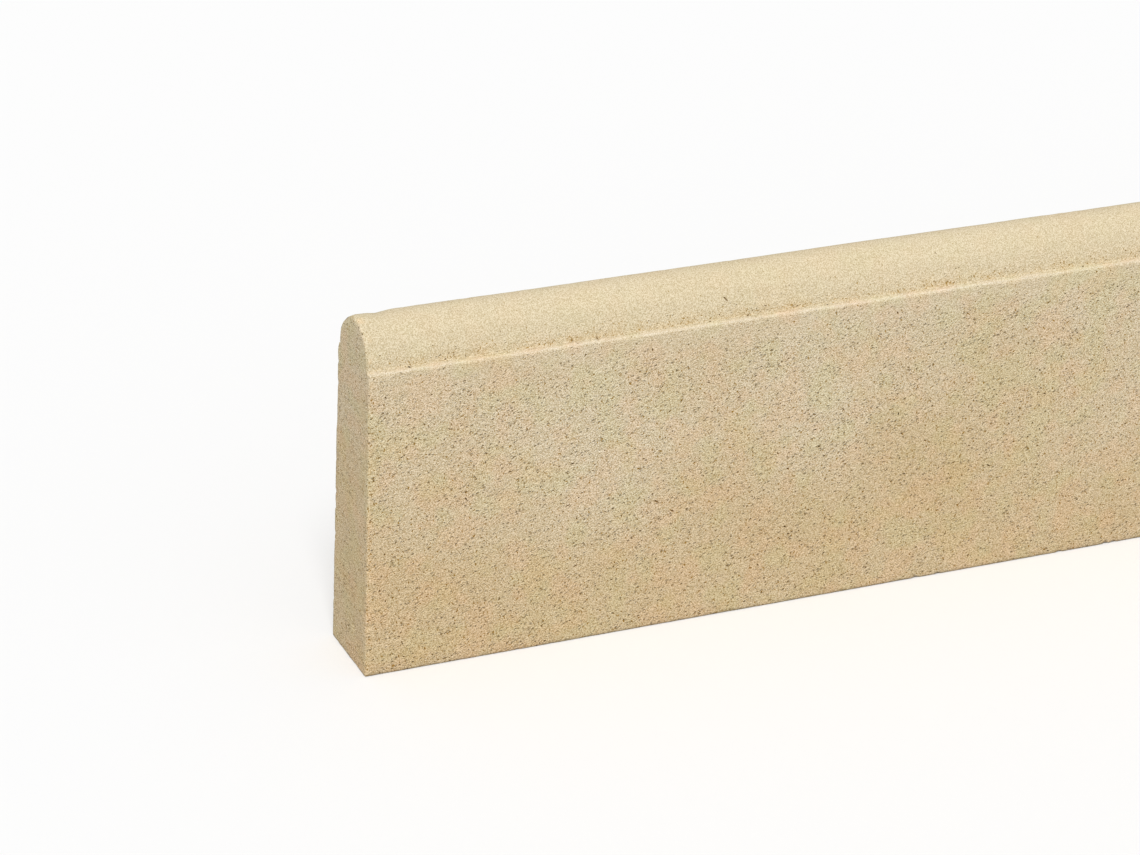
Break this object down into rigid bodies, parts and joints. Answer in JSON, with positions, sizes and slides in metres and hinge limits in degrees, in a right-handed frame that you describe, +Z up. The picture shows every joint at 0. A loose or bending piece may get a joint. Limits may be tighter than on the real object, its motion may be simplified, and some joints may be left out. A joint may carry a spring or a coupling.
{
  "type": "concrete kerb stone",
  "caption": "Straight cast-concrete kerb stone, upright and slim, with slightly tapered faces, narrow shoulders and a half-round top, for edging paths, lawns and beds.",
  "frame": {"origin": "on the bed, under the middle of the stone", "axes": "+X along the kerb's length, +Y across its thickness, +Z up from the bed to the half-round head"},
  "size_m": [1, 0.05, 0.1999],
  "materials": {
    "cast_concrete": "matt, sand-coloured dry-pressed concrete with fine open pores"
  },
  "bodies": {
    "root": {"kerb_stone": "cast_concrete"}
  },
  "joints": []
}
